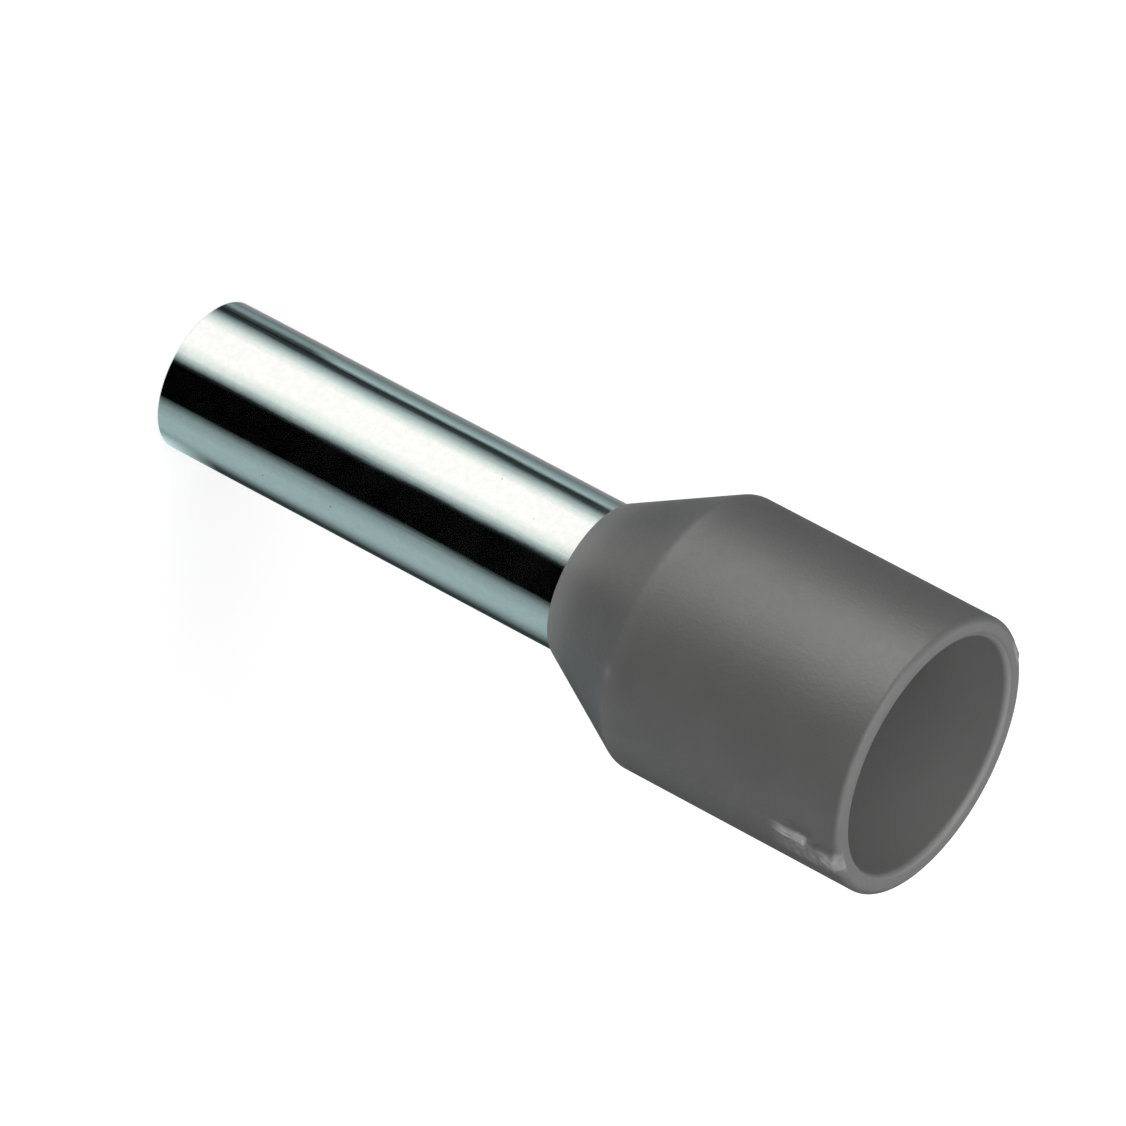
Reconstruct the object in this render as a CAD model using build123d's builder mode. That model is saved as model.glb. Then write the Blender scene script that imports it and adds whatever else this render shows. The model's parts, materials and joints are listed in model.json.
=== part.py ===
"""Insulated wire ferrule for 2.5 mm2 stranded conductors, in millimetres.

The ferrule is two pieces. The sleeve is a thin tube of tinned copper, cut square at
its outer end and flared to a funnel at its inner end. The collar is one moulding of
plastic: its root grips the sleeve, its conical shoulder carries the funnel, and its
straight barrel takes the insulation of the wire.

The axis is +Z, from the cut end of the sleeve at the origin to the mouth of the collar.
The flanks with the stubs of the snapped webs are at +X and -X.
"""

import os
from math import atan2, degrees, tan

from build123d import *

# Sleeve
sleeve_diameter = 2.6  # outside
sleeve_wall = 0.16  # copper 0.15 thick, with the tin on both faces
exposed_length = 8.0  # from the cut end to the root of the collar
bend_radius = 0.6  # at the foot of the funnel, on the side of the collar
rim_clearance = 0.2  # from the rim of the funnel to the wall of the barrel
edge_rounding = 0.03  # of the cut end and of the rim of the funnel

# Collar
collar_length = 6.5
collar_diameter = 4.8  # outside
collar_wall = 0.35
shoulder_length = 1.88  # along the axis, from the root to the barrel
root_lip = 0.08  # thickness of the edge that lies round the sleeve
root_rounding = 0.05
shoulder_rounding = 0.25
inner_rounding = 0.4  # between the inner cone and the barrel
mouth_outer_rounding = 0.12
mouth_inner_rounding = 0.12

# Stubs of the webs that held the collar after moulding, snapped off on both flanks
stub_height = 0.07  # above the barrel
stub_width = 0.34
stub_depth = 0.12  # of the part that is inside the wall
long_stub = 0.85
short_stub = 0.36
stub_gap = 0.13  # between the two stubs of a flank
stub_from_mouth = 0.1
stub_rounding = 0.03

# Sizes that follow
sleeve_radius = sleeve_diameter / 2
collar_radius = collar_diameter / 2
barrel_radius = collar_radius - collar_wall  # inside
root_radius = sleeve_radius + root_lip
shoulder_end = exposed_length + shoulder_length
mouth = exposed_length + collar_length

# The inner cone is parallel to the shoulder, one wall further in
cone_angle = atan2(collar_radius - root_radius, shoulder_length)
cone_end = shoulder_end + collar_wall * tan(cone_angle / 2)
cone_start = cone_end - (barrel_radius - sleeve_radius) / tan(cone_angle)

# The funnel lies on the inner cone and stops short of the barrel
rim_radius = barrel_radius - rim_clearance
rim_height = cone_start + (rim_radius - sleeve_radius) / tan(cone_angle)


def corner(sketch, point):
    """The vertex of a sketch that lies at a point of its outline."""
    return sketch.vertices().sort_by_distance(point)[0]


# Sleeve: the outer face is drawn from the cut end to the rim, thickened inwards and turned
with BuildPart() as sleeve:
    with BuildSketch(Plane.XZ) as sleeve_section:
        with BuildLine():
            FilletPolyline(
                (sleeve_radius, 0),
                (sleeve_radius, cone_start),
                (rim_radius, rim_height),
                radius=bend_radius,
            )
            offset(amount=sleeve_wall, side=Side.LEFT)
        make_face()
        section_corners = sleeve_section.vertices().sort_by(Axis.Y)
        fillet(section_corners[:2] + section_corners[-2:], edge_rounding)
    revolve(axis=Axis.Z)
sleeve.part.label = "sleeve"

# Collar: half of its section, with the inner outline on the outer face of the sleeve
root_edge = (root_radius, exposed_length)
shoulder_edge = (collar_radius, shoulder_end)
mouth_outer_edge = (collar_radius, mouth)
mouth_inner_edge = (barrel_radius, mouth)
inner_edge = (barrel_radius, cone_end)
seat_edge = (sleeve_radius, cone_start)
roundings = {
    root_edge: root_rounding,
    shoulder_edge: shoulder_rounding,
    mouth_outer_edge: mouth_outer_rounding,
    mouth_inner_edge: mouth_inner_rounding,
    inner_edge: inner_rounding,
    seat_edge: bend_radius,
}
with BuildPart() as collar:
    with BuildSketch(Plane.XZ) as collar_section:
        with BuildLine():
            Polyline(
                (sleeve_radius, exposed_length),
                root_edge,
                shoulder_edge,
                mouth_outer_edge,
                mouth_inner_edge,
                inner_edge,
                seat_edge,
                close=True,
            )
        make_face()
        for edge, radius in roundings.items():
            fillet(corner(collar_section, edge), radius)
    revolve(axis=Axis.Z)

    # On each flank a long stub, a gap and a short stub, ending just behind the mouth
    short_middle = mouth - stub_from_mouth - short_stub / 2
    long_middle = mouth - stub_from_mouth - short_stub - stub_gap - long_stub / 2
    stub_middle = collar_radius + (stub_height - stub_depth) / 2
    for flank in (1, -1):
        with BuildSketch(Plane.XZ) as stubs:
            with Locations((flank * stub_middle, short_middle)):
                Rectangle(stub_height + stub_depth, short_stub)
            with Locations((flank * stub_middle, long_middle)):
                Rectangle(stub_height + stub_depth, long_stub)
            outer_corners = stubs.vertices().filter_by(lambda v: abs(v.X) > collar_radius)
            fillet(outer_corners, stub_rounding)
        extrude(amount=stub_width / 2, both=True)
collar.part.label = "collar"

os.makedirs("parts", exist_ok=True)
export_step(sleeve.part, "parts/sleeve.step")
export_step(collar.part, "parts/collar.step")
print(f"funnel angle {degrees(cone_angle):.1f}, root grips {cone_start - exposed_length:.2f} mm")
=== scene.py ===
"""An insulated wire ferrule that stands on the cut end of its sleeve, with the mouth of the collar up.

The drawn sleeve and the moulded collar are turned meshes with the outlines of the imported
solids. The collar also has the torn ends of the webs that held it after moulding.
Lengths are in millimetres, and MM takes them to metres.
"""

import json
from math import atan2, ceil, cos, exp, pi, radians, sin, tan

import bmesh
import bpy
from mathutils import Matrix, Vector, noise


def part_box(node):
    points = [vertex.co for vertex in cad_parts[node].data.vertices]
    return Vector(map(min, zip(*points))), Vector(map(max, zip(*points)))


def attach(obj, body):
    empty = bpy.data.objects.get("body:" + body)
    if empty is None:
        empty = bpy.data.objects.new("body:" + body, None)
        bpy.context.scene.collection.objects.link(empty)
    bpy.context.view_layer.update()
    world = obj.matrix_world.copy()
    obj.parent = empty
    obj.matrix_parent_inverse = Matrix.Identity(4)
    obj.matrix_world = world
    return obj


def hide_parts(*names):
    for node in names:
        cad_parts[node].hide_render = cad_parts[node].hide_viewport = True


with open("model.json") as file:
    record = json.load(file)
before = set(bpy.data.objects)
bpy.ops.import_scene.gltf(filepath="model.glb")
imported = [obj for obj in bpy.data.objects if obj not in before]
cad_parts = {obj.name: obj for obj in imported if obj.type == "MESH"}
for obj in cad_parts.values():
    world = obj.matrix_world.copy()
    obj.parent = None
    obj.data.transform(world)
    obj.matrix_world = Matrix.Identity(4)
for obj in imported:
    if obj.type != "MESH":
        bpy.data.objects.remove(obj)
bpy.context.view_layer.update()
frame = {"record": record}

MM = 0.001

# Sizes from the frame
mounts = {mount["name"]: mount["dims"] for mount in frame["record"]["mounts"]}
sleeve_radius = mounts["contact_pin"]["r_mm"]
bore_radius = mounts["conductor_bore"]["r_mm"]
barrel_radius = mounts["insulation_bore"]["r_mm"]
collar_low, collar_high = (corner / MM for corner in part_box("collar"))
collar_radius = collar_high.y
stub_top = collar_high.x
root = collar_low.z
mouth = collar_high.z

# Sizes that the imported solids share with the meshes
shoulder_length = 1.88
root_lip = 0.08
root_rounding = 0.05
shoulder_rounding = 0.25
inner_rounding = 0.4
mouth_outer_rounding = 0.12
mouth_inner_rounding = 0.12
bend_radius = 0.6
rim_clearance = 0.2
edge_rounding = 0.03

# Sizes that follow
sleeve_wall = sleeve_radius - bore_radius
collar_wall = collar_radius - barrel_radius
root_radius = sleeve_radius + root_lip
shoulder_end = root + shoulder_length
cone_angle = atan2(collar_radius - root_radius, shoulder_length)
cone_end = shoulder_end + collar_wall * tan(cone_angle / 2)
cone_start = cone_end - (barrel_radius - sleeve_radius) / tan(cone_angle)
rim_radius = barrel_radius - rim_clearance
rim_height = cone_start + (rim_radius - sleeve_radius) / tan(cone_angle)
ferrule_middle = Vector((0, 0, mouth / 2))


# Places, soft steps and objects
def on_circle(radius, angle, height):
    return Vector((radius * cos(angle), radius * sin(angle), height))


def direction(azimuth, elevation=0.0):
    """A unit vector by its angles in degrees. Azimuth 0 is -Y, and it grows towards +X."""
    return on_circle(cos(radians(elevation)), radians(azimuth) - pi / 2, sin(radians(elevation)))


def bump(value, middle, width):
    """1 at the middle, falling to nothing over about the width."""
    return exp(-(((value - middle) / width) ** 2))


def ramp(value, low, high):
    """0 at low, 1 at high, smooth between."""
    share = min(max((value - low) / (high - low), 0.0), 1.0)
    return share * share * (3 - 2 * share)


def between(value, low, high, edge):
    """1 between low and high, falling smoothly to 0 over the edge inside both."""
    return ramp(value, low, low + edge) * (1 - ramp(value, high - edge, high))


def lerp(low, high, share):
    return low + (high - low) * share


def new_object(name, data):
    thing = bpy.data.objects.new(name, data)
    bpy.context.scene.collection.objects.link(thing)
    return thing


def mesh_object(name, bm):
    mesh = bpy.data.meshes.new(name)
    bm.to_mesh(mesh)
    bm.free()
    return new_object(name, mesh)


# Camera, turned about its own axis so that the ferrule lies in the picture as in the photograph
camera_azimuth = 30.1
camera_elevation = 26.9
camera_roll = radians(27.9)
camera_distance = 188.0
camera_lens = 380.0
clip_range = (10.0, 10000.0)


def make_camera():
    back = direction(camera_azimuth, camera_elevation)
    axis_seen = (Vector((0, 0, 1)) - back * back.z).normalized()
    across = back.cross(axis_seen)
    right = axis_seen * cos(camera_roll) + across * sin(camera_roll)
    up = across * cos(camera_roll) - axis_seen * sin(camera_roll)
    data = bpy.data.cameras.new("camera")
    data.lens = camera_lens
    data.clip_start, data.clip_end = (reach * MM for reach in clip_range)
    camera = new_object("camera", data)
    turn = Matrix((right, up, back)).transposed().to_4x4()
    camera.matrix_world = Matrix.Translation((ferrule_middle + back * camera_distance) * MM) @ turn
    bpy.context.scene.camera = camera


make_camera()


# Outlines and turned meshes
row_length = 0.25  # longest row on a straight run
support_row = 0.02  # from a straight run's end to its first row
arc_step = radians(9)
least_arc_steps = 3


def straight(start, end):
    """Points between the ends of a straight run, close to each end and evenly between."""
    length = (end - start).length
    if length < 3 * support_row:
        return []
    even_length = length - 2 * support_row
    count = ceil(even_length / row_length)
    spots = [support_row + even_length * k / count for k in range(count + 1)]
    return [start.lerp(end, spot / length) for spot in spots]


def arc(before, corner, after):
    """The points of a rounded corner (radius, height, rounding), by its neighbours."""
    here = Vector(corner[:2])
    rounding = corner[2]
    if not rounding:
        return [here]
    arrive = (here - Vector(before[:2])).normalized()
    leave = (Vector(after[:2]) - here).normalized()
    turn = atan2(arrive.cross(leave), arrive.dot(leave))
    side = 1 if turn > 0 else -1
    start = here - arrive * rounding * tan(abs(turn) / 2)
    spoke = Vector((arrive.y, -arrive.x)) * rounding * side
    centre = start - spoke
    count = max(least_arc_steps, ceil(abs(turn) / arc_step))
    return [centre + Matrix.Rotation(turn * k / count, 2) @ spoke for k in range(count + 1)]


def outline(corners):
    """The points of a closed outline through corners (radius, height, rounding)."""
    before = corners[-1:] + corners[:-1]
    after = corners[1:] + corners[:1]
    arcs = [arc(*three) for three in zip(before, corners, after)]
    points = []
    for here, following in zip(arcs, arcs[1:] + arcs[:1]):
        points += here
        points += straight(here[-1], following[0])
    return points


def turned(name, points, angles, shape):
    """A smooth closed mesh of an outline turned about the axis. The shape gives each vertex."""
    bm = bmesh.new()
    paleness = bm.verts.layers.float.new("paleness")
    torn = bm.verts.layers.float.new("torn")
    rings = []
    for angle in angles:
        ring = []
        for point in points:
            place, pale_share, torn_share = shape(point, angle)
            vert = bm.verts.new(place * MM)
            vert[paleness] = pale_share
            vert[torn] = torn_share
            ring.append(vert)
        rings.append(ring)
    for ring, after in zip(rings, rings[1:] + rings[:1]):
        for k in range(len(points)):
            face = bm.faces.new((ring[k - 1], after[k - 1], after[k], ring[k]))
            face.smooth = True
    bmesh.ops.recalc_face_normals(bm, faces=bm.faces)
    return mesh_object(name, bm)


# Sleeve: cut square at its foot, a little uneven at the cut, and not quite straight where it is bare
sleeve_columns = 288
cut_unevenness = 0.006
cut_reach = 0.12  # height at which the cut's unevenness ends
cut_waves = 1.4  # in a millimetre
drawn_unevenness = 0.004
drawn_waves = (1.3, 1.3, 0.45)  # in a millimetre across and along the sleeve
drawn_end = root - 0.25
drawn_fade = 0.5


def sleeve_point(point, angle):
    """Where a point of the outline lies at an angle, how pale it is, and how torn."""
    radius, height = point
    place = on_circle(radius, angle, height)
    lift = cut_unevenness * (noise.noise(place * cut_waves) * 0.5 + 0.5)
    lift *= 1 - ramp(height, 0, cut_reach)
    swell = drawn_unevenness * noise.noise(place * Vector(drawn_waves))
    swell *= 1 - ramp(height, drawn_end - drawn_fade, drawn_end)
    return on_circle(radius + swell, angle, height + lift), 0.0, 0.0


def make_sleeve():
    inwards = Vector((-cos(cone_angle), sin(cone_angle))) * sleeve_wall
    corners = [
        (sleeve_radius, 0, edge_rounding),
        (sleeve_radius, cone_start, bend_radius),
        (rim_radius, rim_height, edge_rounding),
        (rim_radius + inwards.x, rim_height + inwards.y, edge_rounding),
        (bore_radius, cone_start + sleeve_wall * tan(cone_angle / 2), bend_radius + sleeve_wall),
        (bore_radius, 0, edge_rounding),
    ]
    angles = [2 * pi * k / sleeve_columns for k in range(sleeve_columns)]
    return turned("drawn_sleeve", outline(corners), angles, sleeve_point)


# Collar: its columns are close together on both flanks, and its rows near the mouth, for the torn webs
plain_column = radians(1.5)
fine_column = radians(0.35)
fine_reach = radians(16)  # from the middle of a flank
last_gap = 0.6  # of a plain column, at least, between the last column and the first
fine_row = 0.02
fine_bottom = mouth - 1.54
fine_top = mouth - mouth_outer_rounding
lip_unevenness = 0.008
lip_fade = 0.3
lip_noise_radius = 1.2  # of the circle on which the lip's noise is read
lip_noise_height = 3.0

# Torn webs: how far they stand out, and their heights along the collar
stub_height = stub_top - collar_radius
long_stub = (mouth - 1.47, mouth - 0.59)
short_stub = (mouth - 0.5, mouth - 0.03)
haze_rise = (mouth - 1.5, mouth - 0.9)
groove_span = (mouth - 1.1, mouth - 0.4)
ridge_ends = 0.05  # the soft ends of each form along the collar
lump_ends = 0.07
skin_ends = 0.1
groove_ends = 0.2
streak_start = 0.6
streak_end = 0.06
patch_start = 0.25

# Torn webs: the ridge of the long stub widens and rises from its foot towards the mouth
ridge_growing = 0.5  # the length over which it does
ridge_half_widths = (0.08, 0.17)
ridge_rises = (0.35, 0.9)
ridge_side = 0.07
ridge_level = 0.9
ridge_grain = 0.2
groove_across = -0.29
groove_half_width = 0.06
groove_depth = 0.03

# Other torn forms: where one begins and ends across the flank, its soft side, its level and its grain
lump_form = (-0.15, 0.17, 0.07, 0.78, 0.2)
skin_form = (-0.1, 0.52, 0.15, 0.35, 0.2)
# The streak is torn whitening and a painted highlight on the side of the ridge that faces the light
streak_form = (-0.2, 0.04, 0.08, 0.75, 0.5)
patch_form = (-0.15, 0.45, 0.2, 0.65, 0.6)
haze_form = (-0.14, 0.66, 0.34, 0.28, 0.3)
streak_growth = 0.3  # towards the mouth
haze_wander = 4  # times the other forms' wander

# Noise on a flank: waves in a millimetre across it and along it, and a seed
wander_noise = (7, 7, 5.0)
crumb_noise = (9, 9, 7.0)
fibre_noise = (22, 4, 3.0)
wander_width = 0.03  # how far the edges of the torn forms wander

# Pale places on the collar, as shares of the pale colour, which the inner wall has in full. On the inner
# wall, the lip and the root it is painted light.
# Painted light on the lip, as if lit from above
lip_painted_light = 0.31
lip_top = mouth - 0.02
edge_paleness = 0.11  # of the shoulder's edge
edge_middle = shoulder_end + 0.05
edge_half_height = 0.1
nick_paleness = 0.43
nick_angle = radians(-30.5)
nick_half_width = radians(2.5)
nick_half_height = 0.06
# Painted light at the collar's root, where the bright sleeve beside it would light it
root_painted_light = 0.75
root_reach = 0.5
inner_fade = 0.5  # above the end of the inner cone
outer_fade = (barrel_radius + 0.05, barrel_radius + 0.1)  # from the inner wall's look to the outer one's


def flank_noise(kind, across, height, flank):
    waves_across, waves_along, seed = kind
    return noise.noise(Vector((across * waves_across, height * waves_along, flank * seed)))


def torn_form(form, across, grain):
    """How strong a torn form is at a place across the flank, with the grain there."""
    low, high, side, level, share = form
    return between(across, low, high, side) * (level + share * grain)


def torn_web(across, height, flank):
    """How far the flank stands above the barrel, as a share of stub_height, and how pale it is torn,
    with a painted highlight along the long stub's ridge.
    """
    wander = wander_width * flank_noise(wander_noise, across, height, flank)
    crumbs = flank_noise(crumb_noise, across, height, flank)
    fibres = flank_noise(fibre_noise, across, height, flank)
    ragged_across = across + wander
    ragged_height = height + wander

    # The long stub: a ridge, with a pale streak on one side, which is torn whitening and a painted
    # highlight where that side catches the light
    low, high = long_stub
    grown = ramp(height, low, low + ridge_growing)
    half = lerp(*ridge_half_widths, grown)
    ridge_form = (-half, half, ridge_side, ridge_level, ridge_grain)
    ridge = between(ragged_height, low, high, ridge_ends) * lerp(*ridge_rises, grown)
    ridge *= torn_form(ridge_form, ragged_across, fibres)
    streak = ramp(height, low, low + streak_start) * (1 - ramp(height, high - streak_end, high))
    streak *= torn_form(streak_form, ragged_across, fibres + streak_growth * ramp(height, low, high))

    # The short stub: a crumbled lump in a pale patch, with torn skin that runs round the flank
    low, high = short_stub
    lump = between(ragged_height, low, high, lump_ends) * torn_form(lump_form, ragged_across, crumbs)
    skin = between(ragged_height, low, high, skin_ends) * torn_form(skin_form, ragged_across, crumbs)
    patch = ramp(height, low, low + patch_start) * torn_form(patch_form, ragged_across, crumbs)

    # A pale haze lies round both, and a groove beside them
    haze = ramp(height, *haze_rise) * torn_form(haze_form, across + haze_wander * wander, crumbs)
    groove = between(height, *groove_span, groove_ends)
    groove *= bump(ragged_across, groove_across, groove_half_width)
    rise = min(max(ridge, lump, skin, 0.0), 1.0)
    fall = groove * (1 - rise) * groove_depth / stub_height
    return rise - fall, min(max(streak, patch, haze, 0.0), 1.0)


def collar_paleness(radius, height, angle):
    """The share of the pale colour at a point of the collar's outline. On the inner wall, the lip and
    the root it is painted light.
    """
    outer = ramp(radius, *outer_fade)
    # Painted light that brightens the shaded inner wall of the mouth
    painted_inner_light = (1 - outer) * ramp(height, cone_end, cone_end + inner_fade)
    # Painted light on the lip
    lip = lip_painted_light * ramp(height, fine_top, lip_top)
    edge = edge_paleness * outer * bump(height, edge_middle, edge_half_height)
    nick = nick_paleness * outer * bump(height, shoulder_end, nick_half_height)
    nick *= bump(angle, nick_angle, nick_half_width)
    # Painted light at the root, from the bright sleeve beside it
    painted_root_light = root_painted_light * bump(height, root, root_reach)
    return min(max(lip, painted_inner_light) + edge + nick + painted_root_light, 1.0)


def collar_point(point, angle):
    """Where a point of the outline lies at an angle, how pale it is, and how torn."""
    radius, height = point
    flank = 1 if cos(angle) > 0 else -1
    from_flank = atan2(sin(angle) * flank, cos(angle) * flank)
    outside = radius > collar_radius - mouth_outer_rounding
    rise = torn = 0.0
    if outside and abs(from_flank) < fine_reach and height > fine_bottom:
        rise, torn = torn_web(from_flank * collar_radius, height, flank)
    place = on_circle(radius + stub_height * rise, angle, height)
    lip_noise = noise.noise(on_circle(lip_noise_radius, angle, lip_noise_height))
    sink = lip_unevenness * (0.5 + 0.5 * lip_noise)
    place.z -= sink * ramp(height, mouth - lip_fade, mouth)
    return place, collar_paleness(radius, height, angle), torn


def collar_outline():
    """The closed outline of the collar, with close rows where the webs were torn off."""
    corners = [
        (root_radius, root, root_rounding),
        (collar_radius, shoulder_end, shoulder_rounding),
        (collar_radius, fine_bottom, 0),
        (collar_radius, mouth, mouth_outer_rounding),
        (barrel_radius, mouth, mouth_inner_rounding),
        (barrel_radius, cone_end, inner_rounding),
        (sleeve_radius, cone_start, bend_radius),
        (sleeve_radius, root, 0),
    ]
    points = outline(corners)
    first = points.index(Vector((collar_radius, fine_bottom)))
    last = next(k for k, point in enumerate(points) if point.y > fine_top - fine_row / 2)
    count = round((fine_top - fine_bottom) / fine_row)
    fine = [points[first].lerp(points[last], k / count) for k in range(1, count)]
    return points[:first + 1] + fine + points[last:]


def collar_angles():
    """The angles of the columns, close together round both flanks."""
    start = -pi / 2
    end = start + 2 * pi - last_gap * plain_column
    angle = start
    angles = []
    while angle < end:
        angles.append(angle)
        from_flank = abs((angle - start) % pi - pi / 2)
        angle += fine_column if from_flank < fine_reach + plain_column else plain_column
    return angles


def make_collar():
    return turned("moulded_collar", collar_outline(), collar_angles(), collar_point)


# Materials
tin_bright = (0.72, 0.745, 0.738, 1)
tin_dull = (0.65, 0.677, 0.672, 1)
tin_pit = (0.30, 0.31, 0.30, 1)
plastic_dark = (0.079, 0.0785, 0.077, 1)
plastic_light = (0.089, 0.0885, 0.087, 1)
# The pale colour is painted light on the inner wall, the lip and the root, and a pale mark at the
# shoulder's edge and the nick
plastic_pale = (0.195, 0.1945, 0.193, 1)
plastic_torn_and_highlight = (0.36, 0.36, 0.348, 1)
tin_roughness = (0.05, 0.085)
plastic_roughness = (0.40, 0.50)

# How much of its noise each look takes: the noise's levels at which it begins and is full
soft_span = (0.3, 0.7)
dull_span = (0.35, 0.75)
pit_span = (0.78, 0.84)
scuff_span = (0.3, 0.6)
scuff_shares = (0.6, 1.0)  # of the torn look, where it begins and is full

# Reliefs: strength, and depth in millimetres
wave_relief = (1.0, 0.007)
line_relief = (0.30, 0.003)
speckle_relief = (0.12, 0.006)
grain_relief = (0.6, 0.01)


def add(tree, kind, sockets=None, **settings):
    """A new node. A socket takes a number, a colour or another node's output."""
    node = tree.nodes.new(kind)
    for name, value in settings.items():
        setattr(node, name, value)
    for name, value in (sockets or {}).items():
        if isinstance(value, bpy.types.NodeSocket):
            tree.links.new(value, node.inputs[name])
        else:
            node.inputs[name].default_value = value
    return node


def new_material(name):
    material = bpy.data.materials.new(name)
    material.use_nodes = True
    tree = material.node_tree
    tree.nodes.clear()
    return material, tree


def finish_surface(tree, colour, roughness, normal, metallic=0.0):
    sockets = {"Base Color": colour, "Roughness": roughness, "Normal": normal, "Metallic": metallic}
    shader = add(tree, "ShaderNodeBsdfPrincipled", sockets)
    add(tree, "ShaderNodeOutputMaterial", {"Surface": shader.outputs["BSDF"]})


def noise_at(tree, scale, detail=2.0, roughness=0.5, stretch=(1, 1, 1)):
    """Noise in object space, with scale as waves in a millimetre."""
    place = add(tree, "ShaderNodeTexCoord").outputs["Object"]
    if stretch != (1, 1, 1):
        place = add(tree, "ShaderNodeMapping", {"Vector": place, "Scale": stretch}).outputs["Vector"]
    sockets = {"Vector": place, "Scale": scale / MM, "Detail": detail, "Roughness": roughness}
    return add(tree, "ShaderNodeTexNoise", sockets).outputs["Fac"]


def levels(tree, value, low, high, to_low=0.0, to_high=1.0):
    """A value taken from between two levels to between two others, and held there."""
    sockets = {"Value": value, "From Min": low, "From Max": high, "To Min": to_low, "To Max": to_high}
    return add(tree, "ShaderNodeMapRange", sockets).outputs["Result"]


def mix(tree, share, first, second):
    """A colour between two. The node has several sockets of each name, so they go by number."""
    sockets = {0: share, 6: first, 7: second}
    return add(tree, "ShaderNodeMix", sockets, data_type="RGBA").outputs[2]


def combine(tree, operation, first, second):
    return add(tree, "ShaderNodeMath", {0: first, 1: second}, operation=operation).outputs[0]


def relief(tree, height, strength, depth, normal=None):
    """A surface's normal from heights between 0 and 1, over a depth in millimetres."""
    sockets = {"Height": height, "Strength": strength, "Distance": depth * MM}
    if normal is not None:
        sockets["Normal"] = normal
    return add(tree, "ShaderNodeBump", sockets).outputs["Normal"]


def attribute(tree, name):
    return add(tree, "ShaderNodeAttribute", attribute_name=name).outputs


def tin_material():
    material, tree = new_material("tinned_copper")
    haze = noise_at(tree, 1.6, detail=4.0)
    speckle = noise_at(tree, 9.0, detail=3.0, roughness=0.7)
    lines = noise_at(tree, 11.0, detail=3.0, stretch=(1, 1, 0.035))
    waves = noise_at(tree, 1.8, detail=1.0, stretch=(1, 1, 0.3))
    pits = levels(tree, noise_at(tree, 8.0, detail=1.0), *pit_span)
    colour = mix(tree, levels(tree, speckle, *dull_span), tin_bright, tin_dull)
    colour = mix(tree, pits, colour, tin_pit)
    roughness = levels(tree, haze, *soft_span, *tin_roughness)
    normal = relief(tree, waves, *wave_relief)
    normal = relief(tree, lines, *line_relief, normal)
    normal = relief(tree, speckle, *speckle_relief, normal)
    finish_surface(tree, colour, roughness, normal, metallic=1.0)
    return material


def plastic_material():
    material, tree = new_material("grey_plastic")
    mottle = noise_at(tree, 1.1, detail=4.0)
    grain = noise_at(tree, 14.0, detail=3.0, roughness=0.65)
    scuffs = levels(tree, noise_at(tree, 8.0, detail=2.0), *scuff_span, *scuff_shares)
    torn = combine(tree, "MULTIPLY", attribute(tree, "torn")["Fac"], scuffs)
    colour = mix(tree, levels(tree, mottle, *soft_span), plastic_dark, plastic_light)
    # The pale colour: painted light on the inner wall, the lip and the root, and pale marks at the
    # shoulder's edge and the nick
    colour = mix(tree, attribute(tree, "paleness")["Fac"], colour, plastic_pale)
    # Torn whitening, with a painted highlight along the long stub's ridge
    colour = mix(tree, torn, colour, plastic_torn_and_highlight)
    roughness = levels(tree, grain, *soft_span, *plastic_roughness)
    finish_surface(tree, colour, roughness, relief(tree, grain, *grain_relief))
    return material


sleeve = make_sleeve()
sleeve.data.materials.append(tin_material())
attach(sleeve, "root")
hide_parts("sleeve")

collar = make_collar()
collar.data.materials.append(plastic_material())
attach(collar, "root")
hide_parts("collar")


# Stage: floor, world and soft lamps
white = (1, 1, 1, 1)
world_light = 0.12
floor_half = 500.0
floor_colour = (0.6, 0.6, 0.6, 1)
floor_bounce = (0.12, 0.6)  # light thrown up on the floor's dark side and on its bright one
bounce_azimuth = 75
bounce_reach = 10.0
floor_glow = 0.52  # near the ferrule, where the floor shows its shadow
shadow_reach = 20.0
white_reach = 60.0
lamp_distance = 150.0
lamp_side = 120.0
lamps = {  # azimuth, elevation and power
    "top_light": (12, 60, 0.11),
    "left_light": (-22, 36, 0.045),
    "right_light": (72, 38, 0.045),
    "side_light": (125, 38, 0.055),
    "back_light": (-140, 60, 0.055),
}


def seen_directly(tree):
    """1 for rays from the camera, mirrored rays and rays through glass, and 0 for light on surfaces."""
    rays = add(tree, "ShaderNodeLightPath").outputs
    seen = combine(tree, "MAXIMUM", rays["Is Camera Ray"], rays["Is Glossy Ray"])
    return combine(tree, "MAXIMUM", seen, rays["Is Transmission Ray"])


def make_floor():
    """A floor that looks white from afar and keeps the ferrule's shadow near it."""
    bm = bmesh.new()
    corners = [(-1, -1), (1, -1), (1, 1), (-1, 1)]
    bm.faces.new([bm.verts.new((x * floor_half * MM, y * floor_half * MM, 0)) for x, y in corners])
    floor = mesh_object("floor", bm)
    material, tree = new_material("floor")
    place = add(tree, "ShaderNodeTexCoord").outputs["Object"]
    away = add(tree, "ShaderNodeVectorMath", {0: place}, operation="LENGTH").outputs["Value"]
    whiteness = levels(tree, away, shadow_reach * MM, white_reach * MM, floor_glow, 1.0)
    sockets = {0: place, 1: direction(bounce_azimuth)}
    along = add(tree, "ShaderNodeVectorMath", sockets, operation="DOT_PRODUCT").outputs["Value"]
    bounce = levels(tree, along, -bounce_reach * MM, bounce_reach * MM, *floor_bounce)
    lift = levels(tree, seen_directly(tree), 0.0, 1.0, bounce, whiteness)
    diffuse = add(tree, "ShaderNodeBsdfDiffuse", {"Color": floor_colour})
    glow = add(tree, "ShaderNodeEmission", {"Color": white, "Strength": lift})
    both = add(tree, "ShaderNodeAddShader", {0: diffuse.outputs[0], 1: glow.outputs[0]})
    add(tree, "ShaderNodeOutputMaterial", {"Surface": both.outputs[0]})
    floor.data.materials.append(material)


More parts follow.
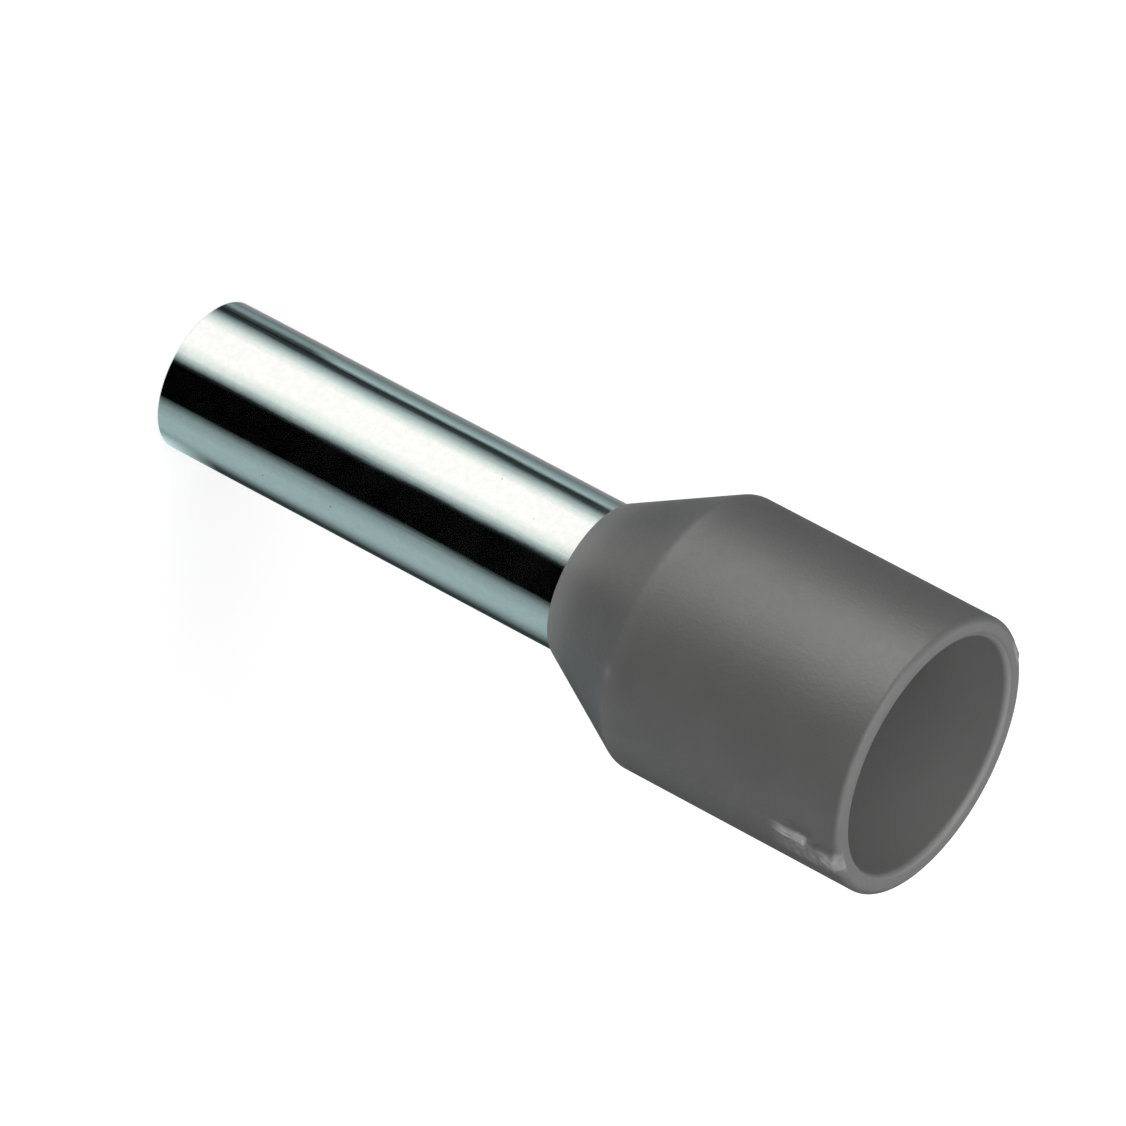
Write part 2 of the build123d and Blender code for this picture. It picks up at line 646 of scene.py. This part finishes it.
def make_world():
    world = bpy.data.worlds.new("world")
    bpy.context.scene.world = world
    world.use_nodes = True
    tree = world.node_tree
    tree.nodes.clear()
    level = levels(tree, seen_directly(tree), 0.0, 1.0, world_light, 1.0)
    sky = add(tree, "ShaderNodeBackground", {"Color": white, "Strength": level})
    add(tree, "ShaderNodeOutputWorld", {"Surface": sky.outputs[0]})


def make_lamp(name, azimuth, elevation, power):
    """A square soft lamp that looks at the ferrule, placed by its direction in degrees."""
    data = bpy.data.lights.new(name, "AREA")
    data.shape = "SQUARE"
    data.size = lamp_side * MM
    data.energy = power
    away = direction(azimuth, elevation)
    lamp = new_object(name, data)
    lamp.location = (ferrule_middle + away * lamp_distance) * MM
    lamp.rotation_mode = "QUATERNION"
    lamp.rotation_quaternion = away.to_track_quat("Z", "Y")


# Cards: what the ferrule reflects towards the camera, by the angle of its surface from the camera's
# side. Each entry is an angle, a tint, and the brightness that the bare sleeve, the shoulder and the
# mouth of the collar reflect.
neutral = (1.0, 1.0, 0.985)
warm = (1.0, 0.96, 0.93)
soft = (0.92, 1.0, 0.95)
cool = (0.74, 0.98, 1.0)
reflections = [
    (-90, neutral, 0.66, 0.2, 0.2),
    (-80, neutral, 0.32, 0.2, 0.2),
    (-70, cool, 0.24, 0.2, 0.2),
    (-64, cool, 0.42, 0.2, 0.2),
    (-59, cool, 0.60, 0.3, 0.3),
    (-55.5, cool, 0.03, 0.3, 0.4),
    (-51, cool, 0.06, 0.2, 0.3),
    (-40, soft, 1.05, 0.8, 1.8),
    (-34, warm, 1.42, 1.1, 7.8),
    (-14, warm, 1.42, 1.1, 7.8),
    (-6, soft, 1.05, 0.3, 1.6),
    (2, cool, 0.02, 0.0, 0.0),
    (4, cool, 0.0, 0.0, 0.0),
    (29, cool, 0.0, 0.0, 0.0),
    (36, cool, 0.38, 0.3, 0.3),
    (41, cool, 0.48, 0.4, 0.4),
    (46, cool, 0.56, 0.4, 0.4),
    (56, cool, 0.55, 0.4, 0.4),
    (61, cool, 0.46, 0.3, 0.3),
    (66, cool, 0.26, 0.1, 0.1),
    (71, cool, 0.10, 0.05, 0.05),
    (76, cool, 0.03, 0.05, 0.05),
    (84, cool, 0.08, 0.1, 0.1),
    (90, cool, 0.30, 0.2, 0.2),
]
column_step = 0.5  # degrees
card_lift = 0.02  # above the floor
card_height = 60.0  # of the upright part at the cards' far end
wall_blend = 0.5  # height over which the upright part takes its tone

# The foot of the sleeve reflects a pale patch on one side and a dark one on the other
foot_light = 0.9
foot_light_angles = (50, 75)  # where the pale patch begins and is full
foot_shade = 0.85
foot_shade_angle = -58.5
foot_shade_width = 4

# Distances outwards along the cards, at which their tones change
foot_reach = 2.0
shade_reach = 3.4
shade_end = 4.4
near_reach = 15.0
middle_reach = 19.0
far_reach = 30.0
card_reach = 60.0


def glow_at(angle):
    """The tint and the three levels at an angle, between the entries on both sides of it."""
    for low, high in zip(reflections, reflections[1:]):
        if angle <= high[0]:
            share = (angle - low[0]) / (high[0] - low[0])
            tint = Vector(low[1]).lerp(Vector(high[1]), share)
            return tint, Vector(low[2:]).lerp(Vector(high[2:]), share)


def card_column(degree):
    """The reach, height and colour of each point outwards along the cards and up their end."""
    tint, (near, middle, far) = glow_at(degree)
    shaded = near * (1 - foot_shade * bump(degree, foot_shade_angle, foot_shade_width))
    foot = max(shaded, foot_light * ramp(degree, *foot_light_angles))
    untinted = Vector((1, 1, 1))
    return [
        (0, 0, tint * foot),
        (foot_reach, 0, tint * shaded),
        (shade_reach, 0, tint * shaded),
        (shade_end, 0, tint * near),
        (near_reach, 0, tint * near),
        (middle_reach, 0, untinted * middle),
        (far_reach, 0, untinted * far),
        (card_reach, 0, untinted * far),
        (card_reach, wall_blend, tint * near),
        (card_reach, card_height, tint * near),
    ]


def reflected(angle, reach):
    """Where a ray from the camera lands, in plan, after the sleeve turns it at this angle."""
    camera_side = radians(camera_azimuth) - pi / 2
    start = on_circle(sleeve_radius, camera_side + angle, 0)
    return start + on_circle(reach, camera_side + 2 * angle, 0)


def make_cards():
    """Glowing cards that only reflections see."""
    bm = bmesh.new()
    glow = bm.verts.layers.float_color.new("glow")
    columns = []
    for k in range(round(180 / column_step) + 1):
        degree = -90 + column_step * k
        column = []
        for reach, height, colour in card_column(degree):
            place = reflected(radians(degree), reach)
            place.z = card_lift + height
            vert = bm.verts.new(place * MM)
            vert[glow] = (*colour, 1.0)
            column.append(vert)
        columns.append(column)
    for column, after in zip(columns, columns[1:]):
        for k in range(len(column) - 1):
            bm.faces.new((column[k], after[k], after[k + 1], column[k + 1]))
    cards = mesh_object("cards", bm)
    material, tree = new_material("cards")
    shine = add(tree, "ShaderNodeEmission", {"Color": attribute(tree, "glow")["Color"], "Strength": 1.0})
    add(tree, "ShaderNodeOutputMaterial", {"Surface": shine.outputs[0]})
    cards.data.materials.append(material)
    cards.visible_camera = False
    cards.visible_diffuse = False
    cards.visible_transmission = False
    cards.visible_shadow = False


make_floor()
make_world()
for name, placing in lamps.items():
    make_lamp(name, *placing)
make_cards()

bpy.context.scene.view_settings.view_transform = "Standard"
